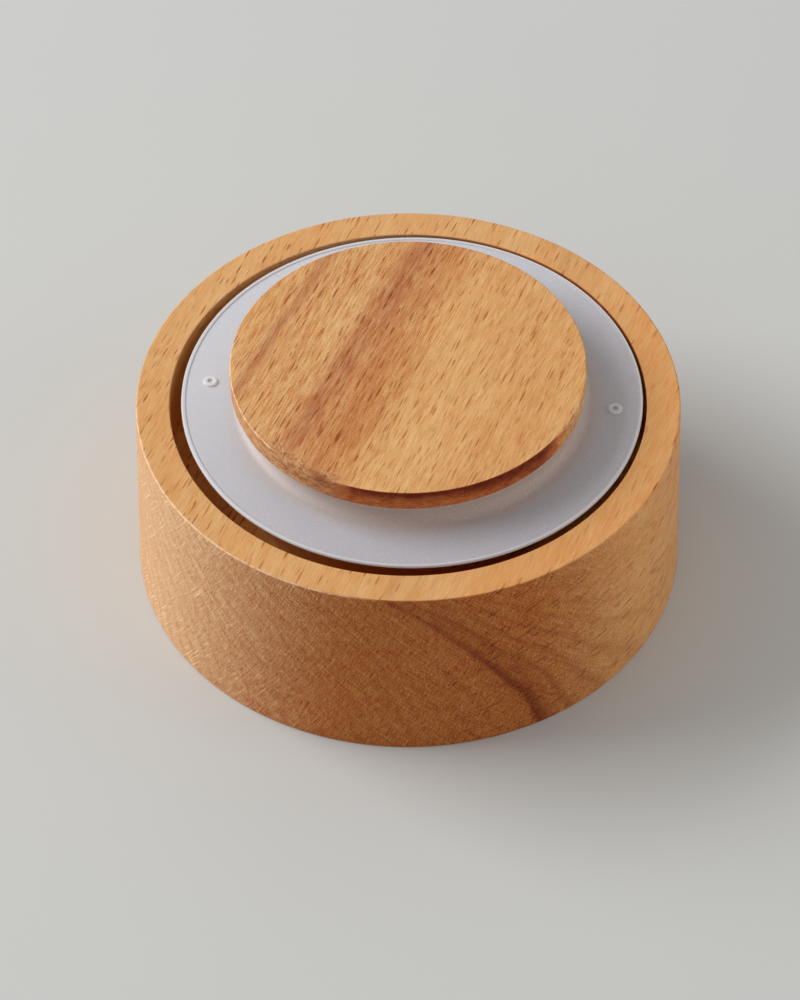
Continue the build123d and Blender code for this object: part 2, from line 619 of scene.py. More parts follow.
@dataclass(frozen=True)
class Beech:
    """Oiled beech, cut from a log, with growth rings, rays and fine fibres that run through the wood.

    Args:
        name: Name of the material.
        log: Where the piece was cut from.
        tones: Its colours.
        dark_ring: The dark growth ring, where the piece shows it.
        streaks: Coloured streaks along the fibres.
        calm_share: Contrast of the fibres on the calm side, where they are weaker.
        calm_start: Place from the dark ring where they start to weaken.
        calm_end: Place from which they are calm.
        top_share: Contrast of the fibres and of the small rays on the top face.
        wall_share: Contrast of the fibres on the side wall.
        gloss: Roughness of the bare wood.
        tone_shares: Shares of the broad tones, the patches and the narrow tones in the plain wood.
        streak_wander: How far a streak wanders.
        ring_pitch: Distance between two growth rings.
        rings_start: Places from the dark ring where the ones beside it start and are full.
        rings_end: Places where they are gone and where they are still full.
        rayless_end: Places on the end grain from where it has fewer rays to where it has none.
        end_reach: Places across the fibres where the end grain is palest, partly painted light on the cap's
            lit side, and deepest, partly painted shade on its shaded front.
        end_share: How far the end grain takes its own colour.
        details: Marks of the tools and of use, painted highlights and painted light, added last.
    """

    name: str
    log: Log
    tones: WoodTones
    dark_ring: Union[DarkRing, None] = None
    streaks: Sequence[Streak] = ()
    calm_share: float = 1.0
    calm_start: float = 0.0
    calm_end: float = 1.0
    top_share: float = 1.0
    wall_share: float = 1.0
    gloss: float = 0.46
    tone_shares: Sequence[float] = (0.50, 0.36, 0.14)
    streak_wander: float = 1.5 * MM
    ring_pitch: float = 2.7 * MM
    rings_start: Sequence[float] = (-1 * MM, 1 * MM)
    rings_end: Sequence[float] = (17 * MM, 5 * MM)
    rayless_end: Sequence[float] = (-6 * MM, -16 * MM)
    end_reach: Sequence[float] = (-11.5 * MM, 28.0 * MM)
    end_share: float = 0.92
    details: Sequence[Callable] = ()

    def dress(self) -> bpy.types.Material:
        """Builds the material."""
        graph = Graph(self.name)
        wood = Timber(graph, self.log)
        layers = (BROAD, MOTTLE, STREAKY, FIBRES, HAIRS)
        broad, mottle, streaky, fibres, hairs = (layer.mask(graph, wood) for layer in layers)
        pores = graph.noise(graph.place(), 1 / PORE_SIZE, 2.0, 0.6) - 0.5
        rays = self.rays(wood, LARGE_RAYS.mask(graph, wood), SMALL_RAYS.mask(graph, wood))
        height = fibres * 0.5 + hairs * 0.35 - rays * 0.5
        surface = Surface(graph, None, height, self.gloss + fibres * 0.08)
        self.colour_plain_wood(surface, wood, broad, mottle, streaky)
        self.colour_rings(surface, wood)
        calm = 1.0 - wood.ring.step(self.calm_start, self.calm_end) * (1.0 - self.calm_share)
        lively = calm * (self.wall_share + wood.level * (self.top_share - self.wall_share))
        fine = STREAKY.tone(streaky) + FIBRES.tone(fibres) + HAIRS.tone(hairs) + pores
        surface.grain(fine * lively * (1.0 - wood.end * 0.40))
        surface.darken(rays * (calm * 0.5 + 0.5), self.tones.ray)
        for detail in self.details:
            detail(surface, wood)
        graph.set(Base_Color=surface.colour, Roughness=surface.rough, IOR=1.46, Specular_IOR_Level=0.16)
        graph.set(Normal=graph.bump(surface.height, 0.035 * MM, 0.4))
        return graph.material

    def rays(self, wood: Timber, large: Value, small: Value) -> Value:
        """Joins the large and the small rays, and fades them where they aren't cut lengthwise.

        Args:
            wood: Places in the log.
            large: The large rays.
            small: The small ones, which are fainter on the top face.

        Returns:
            Up to 1 inside a ray and 0 outside.
        """
        rays = large.math("MAXIMUM", small * (1.0 - wood.level * (1.0 - 0.8 * self.top_share)))
        plain_end = wood.end * wood.ring.step(*self.rayless_end)
        return rays * (1.0 - wood.square_cut) * (1.0 - plain_end) * (1.0 - wood.ray_face * 0.65)

    def colour_plain_wood(self, surface: Surface, wood: Timber, broad: Value, mottle: Value,
                          streaky: Value) -> None:
        """Lays the wood's own colours: broad tones, streaks and end grain.

        Args:
            surface: The finish so far.
            wood: Places in the log.
            broad: Broad tones, from 0 to 1.
            mottle: Short patches, from 0 to 1.
            streaky: Narrow tones, from 0 to 1.
        """
        graph = surface.graph
        broad_share, mottle_share, streaky_share = self.tone_shares
        share = broad * broad_share + mottle * mottle_share + streaky * streaky_share
        surface.colour = graph.mix(share, self.tones.light, self.tones.dark)
        patchy = mottle * 0.40 + streaky * 0.15 + 0.50
        for streak in self.streaks:
            offset = streak.place + wood.wander * self.streak_wander
            mask = (wood.ring - offset).math("ABSOLUTE").step(streak.width, streak.width * 0.25)
            surface.stain(mask * patchy * wood.along.step(streak.gone, streak.full) * streak.strength,
                          streak.colour)
        # The end grain goes from pale to deep across the fibres, and deeper towards the foot. On the cap
        # this is partly the wood's own tone and partly painted light and shade: paler on the left wall,
        # which faces the key lamp, and deeper on the shaded front.
        depth = (wood.across - wood.up * 0.12 + wood.bent).step(*self.end_reach)
        surface.stain(wood.end * self.end_share, graph.mix(depth, self.tones.end_pale, self.tones.end_deep))

    def colour_rings(self, surface: Surface, wood: Timber) -> None:
        """Lays the dark growth ring and the faint ones beside it.

        Args:
            surface: The finish so far.
            wood: Places in the log.
        """
        ring = wood.ring
        ripple = ((ring * (2 * pi / self.ring_pitch)).math("SINE") * 0.5 + 0.5) ** 3.0
        near_band = ring.step(*self.rings_start) * ring.step(*self.rings_end)
        lines = near_band * 0.24 * (1.0 - wood.level * 0.7) + wood.end * 0.10 + 0.06
        surface.darken(ripple * lines, self.tones.band)
        if self.dark_ring:
            self.dark_ring.lay(surface, wood, self.tones.band)


@dataclass(frozen=True)
class SandingMarks:
    """Fine scratches that lean across the end grain of the side wall.

    Args:
        radius: Radius of the wall at its foot.
        left_lean: How far a scratch leans for its height, on the left of the end grain.
        right_lean: The same on its right.
        steep_lean: The same for the steepest scratches.
        back_lean: The same for the scratches that cross them.
        strength: How strongly the scratches show.
        fine: Width and length of the dull scratches, as the further sizes are.
        steep: The same for the steepest ones.
        crossing: The same for the ones that cross them.
        bright: The same for the pale scratches.
        bright_crossing: The same for the pale ones that cross them.
        patch: Width and height of the patches in which the pale ones gather.
        speck: Size of the specks between them.
        skin: Depths inside the radius where the wall starts and where it is full.
    """

    radius: float
    left_lean: float = 0.80
    right_lean: float = 0.48
    steep_lean: float = 0.22
    back_lean: float = 1.05
    strength: float = 1.5
    fine: Sequence[float] = (0.16 * MM, 2.4 * MM)
    steep: Sequence[float] = (0.20 * MM, 1.8 * MM)
    crossing: Sequence[float] = (0.20 * MM, 3.6 * MM)
    bright: Sequence[float] = (0.20 * MM, 7.0 * MM)
    bright_crossing: Sequence[float] = (0.17 * MM, 5.0 * MM)
    patch: Sequence[float] = (9 * MM, 9 * MM)
    speck: float = 0.18 * MM
    skin: Sequence[float] = (3.4 * MM, 3.0 * MM)

    def __call__(self, surface: Surface, wood: Timber) -> None:
        """Adds the scratches to a wood's colour, height and roughness.

        Args:
            surface: The finish so far.
            wood: Places in the log.
        """
        graph = surface.graph
        ahead, aside, z = graph.split(graph.place(pi - FIBRE_ANGLE))
        upright = graph.split(graph.normal())[2].math("ABSOLUTE").step(0.55, 0.25)
        wall = upright * near_radius(ahead, aside, self.radius, self.skin) * wood.end
        angle = aside.math("ARCTAN2", ahead.math("ABSOLUTE"))
        lean = self.left_lean - angle.step(radians(-48), radians(30)) * (self.left_lean - self.right_lean)
        arc = angle * self.radius
        run, steep_run, back_run = arc - z * lean, arc - z * self.steep_lean, arc + z * self.back_lean
        fine = graph.cloud((run, z), self.fine, 3.0, 0.6) - 0.5
        steep = graph.cloud((steep_run, z), self.steep, seed=5.0) - 0.5
        against = graph.cloud((back_run, z), self.crossing, seed=3.0) - 0.5
        bright = graph.cloud((run, z), self.bright, seed=9.0).step(0.60, 0.74)
        crossed = graph.cloud((back_run, z), self.bright_crossing, seed=11.0).step(0.62, 0.78)
        patches = graph.cloud((run, z), self.patch, seed=7.0).step(0.30, 0.62)
        left = angle.step(radians(38), radians(-20))
        ahead_on = angle.step(radians(-52), radians(5)) * 0.75 + 0.45
        specks = graph.noise(graph.place(), 1 / self.speck, 1.0) - 0.5
        rubbed = fine * 1.25 + steep * 0.50 + against * 0.80 + specks * 1.20
        lines = (bright * patches).math("MAXIMUM", crossed * (0.8 - patches * 0.4))
        marks = (rubbed * ahead_on + lines * (left * 0.42 + 0.12)) * wall * self.strength
        surface.grain(marks)
        surface.height = surface.height + marks * 0.5
        surface.rough = surface.rough + wall * 0.06


@dataclass(frozen=True)
class EdgeMark:
    """A mark on one stretch of a turned edge.

    Args:
        radius: Radius of the edge.
        middle: Direction of the stretch's middle, from +X.
        reach: Angle to either side over which the mark fades.
    """

    radius: float
    middle: float
    reach: float

    def axes(self, graph: Graph) -> list[Value]:
        """Coordinates towards the stretch's middle, along it and up."""
        return graph.split(graph.place(-self.middle))


@dataclass(frozen=True)
class PaintedEdgeHighlight(EdgeMark):
    """A pale line of painted highlight along one stretch of a turned edge, where its rounding catches the
    light.

    Args:
        strength: How strongly it shows.
        colour: Colour of the painted highlight.
        gap: Width and height of its breaks.
        skin: Depths inside the radius where the line starts and where it is full.
    """

    strength: float
    colour: Colour = (0.93, 0.70, 0.48)
    gap: Sequence[float] = (1.1 * MM, 1.0 * MM)
    skin: Sequence[float] = (1.9 * MM, 1.3 * MM)

    def __call__(self, surface: Surface, wood: Timber) -> None:
        """Adds the painted highlight to a wood's colour.

        Args:
            surface: The finish so far.
            wood: Places in the log; not used here.
        """
        graph = surface.graph
        ahead, aside, z = self.axes(graph)
        corner = graph.split(graph.normal())[2].bell(0.62, 0.42)
        outside = near_radius(ahead, aside, self.radius, self.skin)
        angle = aside.math("ARCTAN2", ahead)
        broken = graph.cloud((angle * self.radius, z), self.gap, 3.0, 0.6, 1.0).step(0.30, 0.62)
        near = angle.math("ABSOLUTE").step(self.reach, self.reach * 0.6)
        # Painted highlight on the rounded corner, fading away from the stretch's middle.
        surface.stain(corner * outside * near * broken * self.strength, self.colour)


@dataclass(frozen=True)
class GroovePaintedLight:
    """Painted light on the wood inside the groove: lighter and warmer, where the real groove takes light
    through the seal.

    Args:
        radius: Radius of the groove's outer wall.
        top: Height of the rim.
        depth: Depth below the rim from which the painted light is full.
    """

    radius: float
    top: float
    depth: float = 1.2 * MM

    def __call__(self, surface: Surface, wood: Timber) -> None:
        """Paints the light that comes through the seal onto a wood's colour inside the groove.

        Args:
            surface: The finish so far.
            wood: Places in the log; not used here.
        """
        graph = surface.graph
        x, y, z = graph.split(graph.place())
        inside = distance(x, y).step(self.radius + 0.3 * MM, self.radius + 0.1 * MM)
        deep = inside * z.step(self.top, self.top - self.depth)
        # Painted light: more red and green inside the groove, and less blue.
        surface.shade(deep * 0.27 + 1.0, deep * 0.16 + 1.0, 1.0 - deep * 0.15)


@dataclass(frozen=True)
class DarkEdgeBand(EdgeMark):
    """A dark band just below the disc's front top edge, darkest in a line close under the edge, on a stretch
    of wall that is darker as a whole.

    Args:
        top: Height of the disc's top face.
        line_depth: Depth of the darkest line below it.
        band_depth: Depth of the whole band.
        wall_darkening: What the wall round the band multiplies the wood's colour by.
        band: What the band multiplies it by.
        line: What the line multiplies it by.
        blot: Width, depth and height of the blots in the band.
        fleck: The same for the flecks on the wall.
        unevenness: How far the blots move the band's edges.
        skin: Depths inside the radius where the wall starts and where it is full.
    """

    top: float
    line_depth: float = 0.50 * MM
    band_depth: float = 1.30 * MM
    wall_darkening: Colour = (0.84, 0.50, 0.31)
    band: Colour = (0.48, 0.29, 0.28)
    line: Colour = (0.66, 0.46, 0.42)
    blot: Sequence[float] = (2.5 * MM, 2.5 * MM, 1.2 * MM)
    fleck: Sequence[float] = (1.1 * MM, 1.1 * MM, 0.5 * MM)
    unevenness: float = 1.2 * MM
    skin: Sequence[float] = (0.22 * MM, 0.06 * MM)

    def __call__(self, surface: Surface, wood: Timber) -> None:
        """Adds the dark band to a wood's colour.

        Args:
            surface: The finish so far.
            wood: Places in the log; not used here.
        """
        graph = surface.graph
        place = ahead, aside, z = self.axes(graph)
        wall = near_radius(ahead, aside, self.radius, self.skin)
        turn = aside.math("ARCTAN2", ahead)
        deepening = turn.step(self.reach * -0.2, self.reach) * 1.4 + 1.0
        turn = turn.math("ABSOLUTE")
        banded_stretch = wall * turn.step(self.reach, self.reach * 0.72)
        uneven = graph.cloud(place, self.blot, 4.0, 0.65) - 0.5
        flecks = graph.cloud(place, self.fleck, 3.0, 0.6) - 0.5
        drop = (self.top - z + uneven * self.unevenness) / deepening
        surface.darken(wall * turn.step(self.reach * 1.25, self.reach * 0.85), self.wall_darkening)
        surface.darken(banded_stretch * drop.step(self.band_depth * 1.7, self.band_depth * 0.5), self.band)
        surface.darken(banded_stretch * drop.step(self.line_depth * 1.7, self.line_depth * 0.7), self.line)
        surface.grain((uneven * 1.3 + flecks * 1.8) * wall)


@dataclass(frozen=True)
class WornCorner(EdgeMark):
    """Crossing pale scratches and a dark smudge on the rubbed corner of the disc.

    Args:
        top: Height of the disc's top face.
        rising: Width and length of the scratches that lean one way.
        falling: The same for those that lean the other way.
        dent: Width and height of the soft dents.
        depth: Depths inside the radius where the wear starts and where it is full.
        smudge_at: Place of the smudge along the edge and over it.
        smudge_size: Half of its width and height.
        rubbed: Colour of the rubbed wood.
        scratch: Colour of the scratches.
        smudge: What the smudge multiplies the wood's colour by.
        grime: What the dents multiply it by.
    """

    top: float
    rising: Sequence[float] = (0.26 * MM, 1.8 * MM)
    falling: Sequence[float] = (0.30 * MM, 1.8 * MM)
    dent: Sequence[float] = (1.0 * MM, 0.8 * MM)
    depth: Sequence[float] = (2.2 * MM, 0.9 * MM)
    smudge_at: Sequence[float] = (3.6 * MM, 0.1 * MM)
    smudge_size: Sequence[float] = (3.2 * MM, 1.7 * MM)
    rubbed: Colour = (0.70, 0.42, 0.20)
    scratch: Colour = (0.90, 0.66, 0.42)
    smudge: Colour = (0.38, 0.17, 0.12)
    grime: Colour = (0.60, 0.36, 0.26)

    def __call__(self, surface: Surface, wood: Timber) -> None:
        """Adds the wear to a wood's colour and height.

        Args:
            surface: The finish so far.
            wood: Places in the log; not used here.
        """
        graph = surface.graph
        ahead, aside, z = self.axes(graph)
        inward = self.radius - distance(ahead, aside)
        angle = aside.math("ARCTAN2", ahead)
        stretch = angle.math("ABSOLUTE").step(self.reach, self.reach * 0.55)
        near = stretch * inward.step(*self.depth)
        arc = angle * self.radius
        over = (self.top - z) - inward
        rising = graph.cloud((arc - over * 1.1, over), self.rising, 2.0, 0.6)
        falling = graph.cloud((arc + over * 1.5, over), self.falling, 2.0, 0.6, 4.0)
        scratches = rising.step(0.56, 0.68).math("MAXIMUM", falling.step(0.57, 0.70))
        soft = graph.cloud((arc, over), self.dent, 3.0, 0.6, 8.0).step(0.36, 0.64)
        surface.stain(near * 0.25, self.rubbed)
        side, rise = self.smudge_at
        width, height = self.smudge_size
        spot = arc.bell(side, width) * over.bell(rise, height) * (soft * 0.6 + 0.4)
        surface.darken(spot * near, self.smudge)
        surface.darken(near * (1.0 - soft) * 0.8, self.grime)
        surface.stain(scratches * near * 0.34, self.scratch)
        surface.height = surface.height + scratches * near * 0.4 + soft * near * 0.6


@dataclass(frozen=True)
class FrostedPlastic:
    """Milky translucent plastic with a finely etched surface, whose colour holds painted shade, painted warm
    light and a painted highlight.

    Args:
        name: Name of the material.
        tint: Its colour on its lit side, away from the disc's painted shadow.
        shaded_tint: Its colour in the disc's painted shadow, on the front right.
        wood_light_tint: What the painted warm light from the wood close behind it multiplies its colour by.
        centre: Place of the seal's axis.
        backed_radius: Radius out to which wood lies behind it.
        backed_fade: Distances from it where the painted warm light from the wood behind is gone and where it
            is full.
        reach: Radius of the seal.
        shaded_side: Direction, from +X, of the side that holds the disc's painted shadow.
        bead: Depths inside its edge where the painted highlight along the bead starts and where it is full.
        bead_highlight_colour: Colour of the painted highlight along the bead.
        sparkle_colour: Colour of the etched glints.
        etch_size: Size of the etched grains.
        mist_size: Size of the milky clouds.
        rough: Roughness of the smoothest grains.
        clear: Share of the light that passes through.
    """

    name: str
    tint: Colour
    shaded_tint: Colour
    wood_light_tint: Colour
    centre: Sequence[float]
    backed_radius: float
    reach: float
    shaded_side: float = radians(-50)
    backed_fade: Sequence[float] = (3.2 * MM, -1.2 * MM)
    bead: Sequence[float] = (0.42 * MM, 0.24 * MM)
    bead_highlight_colour: Colour = (0.92, 0.92, 0.94)
    sparkle_colour: Colour = (0.93, 0.93, 0.95)
    etch_size: float = 0.24 * MM
    mist_size: float = 8 * MM
    rough: float = 0.46
    clear: float = 0.22

    def dress(self) -> bpy.types.Material:
        """Builds the material."""
        graph = Graph(self.name)
        place = graph.place()
        etch = graph.noise(place, 1 / self.etch_size, 3.0, 0.7)
        mist = graph.noise(place, 1 / self.mist_size, 3.0, 0.6) - 0.5
        sparkle = graph.noise(place, 1 / self.etch_size, 1.0).step(0.60, 0.78)
        x, y, _ = graph.split(graph.place(0.0, (-self.centre[0], -self.centre[1], 0.0)))
        # Painted shadow of the disc: the colour darkens from the lit side towards the front right, with
        # faint clouds.
        toward = (x * cos(self.shaded_side) + y * sin(self.shaded_side)) / self.reach
        shaded_share = (toward + mist * 0.3).step(-1.1, 0.9)
        colour = graph.mix(shaded_share, self.tint, self.shaded_tint)
        reach = distance(x, y)
        # Painted warm light from the wood close behind the seal, strongest on its shaded side.
        over_wood = reach.step(*(self.backed_radius + fade for fade in self.backed_fade))
        colour = graph.mix(over_wood * (shaded_share * 0.7 + 0.3), colour, self.wood_light_tint, "MULTIPLY")
        # Painted highlight along the bead at the seal's edge.
        bead = reach.step(*(self.reach - depth for depth in self.bead))
        colour = graph.mix(bead * 0.70, colour, self.bead_highlight_colour)
        speck = 0.87 + etch * 0.26
        colour = graph.mix(1.0, colour, graph.join(speck, speck, speck), "MULTIPLY")
        colour = graph.mix(sparkle * 0.50, colour, self.sparkle_colour)
        graph.set(Base_Color=colour, Roughness=self.rough + etch * 0.16 - sparkle * 0.14)
        graph.set(Normal=graph.bump(etch + sparkle * 0.6, 0.012 * MM, 0.7))
        graph.set(IOR=1.49, Transmission_Weight=self.clear)
        return graph.material


# Modelling


def deselect_all() -> None:
    """Leaves no object selected."""
    if bpy.context.mode != "OBJECT":
        bpy.ops.object.mode_set(mode="OBJECT")
    bpy.ops.object.select_all(action="DESELECT")


class Turning:
    """A round piece, shaped in edit mode from a cylinder as on a lathe."""

    def __init__(self, name: str, radius: float, low: float, high: float,
                 centre: Sequence[float] = (0.0, 0.0), steps: int = RING_STEPS) -> None:
        """Adds the cylinder at its place and opens it for editing.

        Args:
            name: Name of the piece.
            radius: Radius of the cylinder.
            low: Height of its lower face.
            high: Height of its upper face.
            centre: Place of its axis.
            steps: Number of sides.
        """
        deselect_all()
        self.centre = Vector((centre[0], centre[1]))
        middle = (centre[0], centre[1], (low + high) / 2)
        bpy.ops.mesh.primitive_cylinder_add(vertices=steps, radius=radius, depth=high - low, location=middle)
        self.piece = bpy.context.active_object
        self.piece.name = self.piece.data.name = name
        bpy.ops.object.transform_apply(location=True, rotation=True, scale=True)
        bpy.ops.object.mode_set(mode="EDIT")
        bpy.ops.mesh.select_all(action="DESELECT")

    def mesh(self) -> bmesh.types.BMesh:
        """The mesh being edited."""
        return bmesh.from_edit_mesh(self.piece.data)

    def reach(self, point: Vector) -> float:
        """Distance of a point from the piece's axis."""
        return (point.xy - self.centre).length

    def pick_end(self, height: float) -> None:
        """Selects the flat face round the axis.

        Args:
            height: Height of the face.
        """
        bpy.ops.mesh.select_mode(type="FACE")
        bpy.ops.mesh.select_all(action="DESELECT")
        mesh = self.mesh()
        ends = [f for f in mesh.faces if abs(f.calc_center_median().z - height) < SAME_PLACE
                and abs(f.normal.z) > FLAT and self.reach(f.calc_center_median()) < SAME_PLACE]
        ends[0].select_set(True)
        bmesh.update_edit_mesh(self.piece.data)

    def step_in(self, width: float, rise: float = 0.0) -> "Turning":
        """Insets the selected face by a width, and raises its middle."""
        bpy.ops.mesh.inset(thickness=width, depth=rise, use_even_offset=True)
        return self

    def narrow(self, share: float) -> "Turning":
        """Scales the selected face about the axis.

        Args:
            share: Share of its size that it keeps.

        Returns:
            The turning.
        """
        pivot = (*self.centre, 0.0)
        bpy.ops.transform.resize(value=(share, share, 1.0), center_override=pivot)
        return self

    def raise_by(self, rise: float) -> "Turning":
        """Extrudes the selected face upwards, or downwards where the rise is negative."""
        bpy.ops.mesh.extrude_region_move(TRANSFORM_OT_translate={"value": (0.0, 0.0, rise)})
        return self

    def round_edge(self, radius: float, height: float, size: float, steps: int = ROUND_STEPS) -> "Turning":
        """Rounds the circular edge at a radius and height.

        Args:
            radius: Radius of the edge.
            height: Height of the edge.
            size: Radius of the round.
            steps: Number of facets across it.

        Returns:
            The turning.
        """
        bpy.ops.mesh.select_mode(type="EDGE")
        bpy.ops.mesh.select_all(action="DESELECT")
        mesh = self.mesh()
        for edge in mesh.edges:
            ends = [v.co for v in edge.verts]
            if all(abs(p.z - height) < SAME_PLACE and abs(self.reach(p) - radius) < SAME_RING for p in ends):
                edge.select_set(True)
        bmesh.update_edit_mesh(self.piece.data)
        bpy.ops.mesh.bevel(offset=size, segments=steps, profile=0.5, affect="EDGES")
        return self

    def bore_through(self, low: float, high: float) -> "Turning":
        """Opens the two flat ends round the axis and joins their edges with a wall.

        Args:
            low: Height of the lower end.
            high: Height of the upper end.

        Returns:
            The turning.
        """
        mesh = self.mesh()
        bpy.ops.mesh.select_mode(type="FACE")
        bpy.ops.mesh.select_all(action="DESELECT")
        for face in mesh.faces:
            middle = face.calc_center_median()
            off = min(abs(middle.z - low), abs(middle.z - high))
            if self.reach(middle) < SAME_PLACE and off < SAME_PLACE:
                face.select_set(True)
        bmesh.update_edit_mesh(self.piece.data)
        bpy.ops.mesh.bridge_edge_loops()
        return self

    def finish(self) -> bpy.types.Object:
        """Closes editing, makes the normals point out and shades the piece."""
        bpy.ops.mesh.select_all(action="SELECT")
        bpy.ops.mesh.remove_doubles(threshold=SAME_PLACE / 4)
        bpy.ops.mesh.normals_make_consistent(inside=False)
        bpy.ops.object.mode_set(mode="OBJECT")
        bpy.ops.object.shade_smooth_by_angle(angle=SMOOTH_ANGLE)
        bpy.ops.object.modifier_add(type="WEIGHTED_NORMAL")
        bpy.context.object.modifiers[-1].keep_sharp = True
        bpy.ops.object.modifier_apply(modifier=bpy.context.object.modifiers[-1].name)
        return self.piece


def settle(piece: bpy.types.Object, material: bpy.types.Material, body: Body,
           nodes: Sequence[str] = ()) -> None:
    """Dresses a finished piece and gives it to the frame.

    Args:
        piece: The finished piece.
        material: Its material.
        body: The frame's body that carries it.
        nodes: The frame's nodes that it stands for.
    """
    piece.data.materials.clear()
    piece.data.materials.append(material)
    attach(piece, body.value)
    if nodes:
        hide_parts(*nodes)
    LOG.info("%s: %d faces, rides on %s", piece.name, len(piece.data.polygons), body.value)


@dataclass
class CapBody:
    """The turned cap with its groove, boss, neck, pad and blind bore."""

    radius: float
    wall_taper: float = 1.0 * MM
    rim_wall: float = 5.0 * MM
    groove_depth: float = 13.0 * MM
    groove_width: float = 9.35 * MM
    shoulder_width: float = 2.4 * MM
    shoulder_drop: float = 0.6 * MM
    neck_top: float = 34.3 * MM
    plate_ledge: float = 8.6 * MM
    pad_top: float = 35.0 * MM
    bore_radius: float = 4.05 * MM
    bore_depth: float = 14.0 * MM
    rim_outer_round: float = 0.3 * MM
    rim_inner_round: float = 0.2 * MM
    base_round: float = 0.3 * MM
    groove_corner_round: float = 0.8 * MM
    neck_edge_round: float = 0.4 * MM

    def groove_radius(self) -> float:
        """Radius of the groove's outer wall."""
        return self.radius - self.wall_taper - self.rim_wall

    def build(self) -> bpy.types.Object:
        """Turns the cap."""
        cap = Turning("cap_body_turned", self.radius, 0.0, RIM_HEIGHT)
        rim = self.radius - self.wall_taper
        groove = self.groove_radius()
        floor = RIM_HEIGHT - self.groove_depth
        shoulder = RIM_HEIGHT - self.shoulder_drop
        boss = groove - self.groove_width
        neck = boss - self.shoulder_width
        pad = neck - self.plate_ledge
        cap.pick_end(RIM_HEIGHT)
        cap.narrow(rim / self.radius)
        cap.step_in(self.rim_wall).raise_by(floor - RIM_HEIGHT)
        cap.step_in(self.groove_width).raise_by(shoulder - floor)
        cap.step_in(self.shoulder_width).raise_by(self.neck_top - shoulder)
        cap.step_in(self.plate_ledge).raise_by(self.pad_top - self.neck_top)
        cap.step_in(pad - self.bore_radius).raise_by(-self.bore_depth)
        cap.round_edge(rim, RIM_HEIGHT, self.rim_outer_round)
        cap.round_edge(self.radius, 0.0, self.base_round)
        cap.round_edge(groove, RIM_HEIGHT, self.rim_inner_round, steps=3)
        cap.round_edge(groove, floor, self.groove_corner_round, steps=3)
        cap.round_edge(boss, floor, self.groove_corner_round, steps=3)
        cap.round_edge(boss, shoulder, self.neck_edge_round, steps=2)
        cap.round_edge(neck, self.neck_top, self.neck_edge_round, steps=2)
        return cap.finish()


@dataclass
class Seal:
    """The frosted seal: flange with its bead, collar, plate and moulding nubs."""

    centre: Sequence[float]
    flange_radius: float
    top: float
    thickness: float = 0.8 * MM
    flange_top: float = RIM_HEIGHT + 0.2 * MM
    lip_thickness: float = 0.35 * MM
    lip_bevel_width: float = 1.0 * MM
    collar_radius: float = 25.15 * MM
    collar_foot_round: float = 1.6 * MM
    boss_radius: float = 26.0 * MM
    hole_radius: float = 15.75 * MM
    bead_width: float = 0.7 * MM
    bead_height: float = 0.15 * MM
    bead_slope: float = 0.15 * MM
    edge_round: float = 0.10 * MM
    nub_reach: float = 30.1 * MM
    nub_turn: float = radians(-5.9)
    nub_radius: float = 1.1 * MM
    nub_height: float = 0.3 * MM
    nub_round: float = 0.26 * MM
    dimple_radius: float = 0.42 * MM
    dimple_depth: float = 0.32 * MM
    dimple_round: float = 0.12 * MM

    def build(self) -> bpy.types.Object:
        """Models the seal as one moulding."""
        under = self.flange_top - self.thickness
        lip_under = self.flange_top - self.lip_thickness
        seal = Turning("seal_moulding", self.flange_radius, lip_under, self.flange_top, self.centre)
        plate_under = self.top - self.thickness
        seal.pick_end(self.flange_top)
        seal.step_in(self.bead_slope, self.bead_height)
        seal.step_in(self.bead_width - 2 * self.bead_slope)
        seal.step_in(self.bead_slope, -self.bead_height)
        seal.step_in(self.flange_radius - self.bead_width - self.collar_radius)
        seal.raise_by(self.top - self.flange_top)
        seal.step_in(self.collar_radius - self.hole_radius)
        inner = self.collar_radius - self.thickness
        seal.pick_end(lip_under)
        seal.step_in(self.lip_bevel_width, self.thickness - self.lip_thickness)
        seal.step_in(self.flange_radius - self.lip_bevel_width - inner)
        seal.raise_by(plate_under - under)
        seal.step_in(inner - self.hole_radius)
        seal.bore_through(plate_under, self.top)
        seal.round_edge(self.collar_radius, self.flange_top, self.collar_foot_round, steps=10)
        seal.round_edge(self.flange_radius, self.flange_top, self.edge_round, steps=3)
        seal.round_edge(self.flange_radius, lip_under, self.edge_round, steps=3)
        return seal.finish()

    def nub(self, name: str, side: float) -> bpy.types.Object:
        """Models one moulding nub with its dimple.

        Args:
            name: Name of the piece.
            side: 1 for the right nub, -1 for the left one.

        Returns:
            The nub.
        """
        x = self.centre[0] + side * self.nub_reach * cos(self.nub_turn)
        y = self.centre[1] + side * self.nub_reach * sin(self.nub_turn)
        low = self.flange_top - self.thickness / 2
        high = self.flange_top + self.nub_height
        nub = Turning(name, self.nub_radius, low, high, (x, y), SMALL_RING_STEPS)
        nub.pick_end(high)
        nub.step_in(self.nub_radius - self.dimple_radius).raise_by(-self.dimple_depth)
        nub.round_edge(self.nub_radius, high, self.nub_round, steps=4)
        nub.round_edge(self.dimple_radius, high, self.dimple_round, steps=3)
        return nub.finish()


